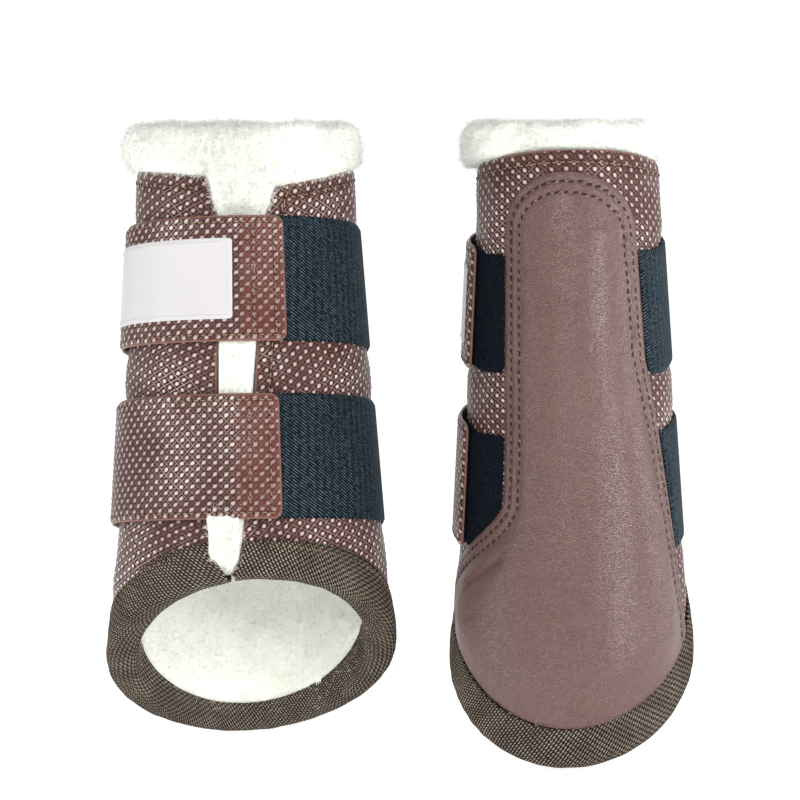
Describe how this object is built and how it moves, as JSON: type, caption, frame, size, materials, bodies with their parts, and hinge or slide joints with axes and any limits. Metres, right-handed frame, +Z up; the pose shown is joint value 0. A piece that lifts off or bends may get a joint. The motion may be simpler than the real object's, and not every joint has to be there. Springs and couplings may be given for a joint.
{
  "type": "tendon boots",
  "caption": "Pair of fleece-lined horse tendon boots: tapering wrap-round shell, slanted bound rim, arched strike pad and hook-and-loop straps with elastic.",
  "frame": {"origin": "on the right boot's leg axis, at the middle of its round leg cavity", "axes": "+Z up along the leg, -Y towards the right boot's front closure and the left boot's pad, +X from the right boot to the left one"},
  "size_m": [0.247, 0.1137, 0.2623],
  "materials": {
    "shell_leather": "embossed leather with raised dots, satin",
    "tab_leather": "embossed leather with raised dots, satin",
    "pad_leather": "smooth fine-grained leather, matt",
    "fleece": "dense sheepskin-like pile",
    "binding_tape": "ribbed woven tape",
    "elastic": "tight diagonal twill",
    "loop_strip": "short fuzzy loops",
    "hook_strip": "fine plastic hooks",
    "label_satin": "smooth satin ribbon, bare",
    "foam": "closed-cell foam"
  },
  "bodies": {
    "boots": {"right_shell": "shell_leather", "right_padding": "foam", "right_fleece_lining": "fleece", "right_rim_binding": "binding_tape", "right_strike_pad": "pad_leather", "right_pad_insert": "foam", "right_upper_elastic": "elastic", "right_upper_loop": "loop_strip", "right_lower_elastic": "elastic", "right_lower_loop": "loop_strip", "left_shell": "shell_leather", "left_padding": "foam", "left_fleece_lining": "fleece", "left_rim_binding": "binding_tape", "left_strike_pad": "pad_leather", "left_pad_insert": "foam", "left_upper_elastic": "elastic", "left_upper_loop": "loop_strip", "left_lower_elastic": "elastic", "left_lower_loop": "loop_strip"},
    "right_upper_strap": {"right_upper_tab": "tab_leather", "right_upper_hook": "hook_strip", "right_label": "label_satin"},
    "right_lower_strap": {"right_lower_tab": "tab_leather", "right_lower_hook": "hook_strip"},
    "left_upper_strap": {"left_upper_tab": "tab_leather", "left_upper_hook": "hook_strip", "left_label": "label_satin"},
    "left_lower_strap": {"left_lower_tab": "tab_leather", "left_lower_hook": "hook_strip"}
  },
  "joints": [
    {"name": "right_upper_strap_hinge", "type": "hinge", "parent": "boots", "child": "right_upper_strap", "pos_m": [0.01711, -0.0401, -0.00148], "axis": [-0.0231, 0.0532, 0.9983], "range_deg": [0, 160]},
    {"name": "right_lower_strap_hinge", "type": "hinge", "parent": "boots", "child": "right_lower_strap", "pos_m": [0.01459, -0.04511, -0.07339], "axis": [-0.0187, 0.057, 0.9982], "range_deg": [0, 160]},
    {"name": "left_upper_strap_hinge", "type": "hinge", "parent": "boots", "child": "left_upper_strap", "pos_m": [0.14901, 0.04472, -0.00678], "axis": [0.0192, 0.0598, -0.998], "range_deg": [0, 160]},
    {"name": "left_lower_strap_hinge", "type": "hinge", "parent": "boots", "child": "left_lower_strap", "pos_m": [0.14685, 0.05034, -0.07869], "axis": [0.0156, 0.0639, -0.9978], "range_deg": [0, 160]}
  ]
}
